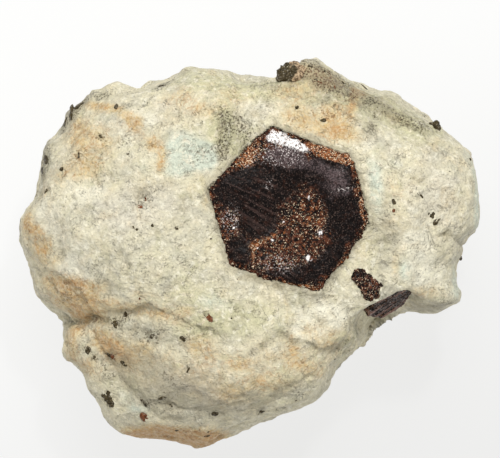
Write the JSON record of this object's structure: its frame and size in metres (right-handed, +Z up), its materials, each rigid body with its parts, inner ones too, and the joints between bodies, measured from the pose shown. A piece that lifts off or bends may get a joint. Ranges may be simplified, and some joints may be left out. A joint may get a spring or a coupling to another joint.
{
  "type": "ferronigerite specimen",
  "caption": "Mineral specimen: a dark hexagonal crystal plate with smaller crystals and grains, set in a pale lump of quartz and feldspar that lies on its back.",
  "frame": {"origin": "on the resting surface, under the middle of the stone's box", "axes": "+X along the stone's length, +Z up out of the face that shows the hexagonal crystal"},
  "size_m": [0.0461, 0.0392, 0.0243],
  "materials": {
    "matrix_stone": "rough broken quartz and feldspar with faint orange and green stains",
    "red_brown_crystal": "glossy dark red-brown plates with granular, sparkling breaks",
    "black_mineral": "dark grey-black grain with a half-metallic shine",
    "garnet_red": "small glassy red-brown grain"
  },
  "bodies": {
    "root": {"matrix": "matrix_stone", "ferronigerite_crystal": "red_brown_crystal", "small_crystal": "red_brown_crystal", "edge_crystal": "red_brown_crystal", "top_crystal": "black_mineral", "dark_grain_upper_right": "black_mineral", "dark_grain_right": "black_mineral", "dark_grain_lower_left": "black_mineral", "red_grain": "garnet_red"}
  },
  "joints": []
}
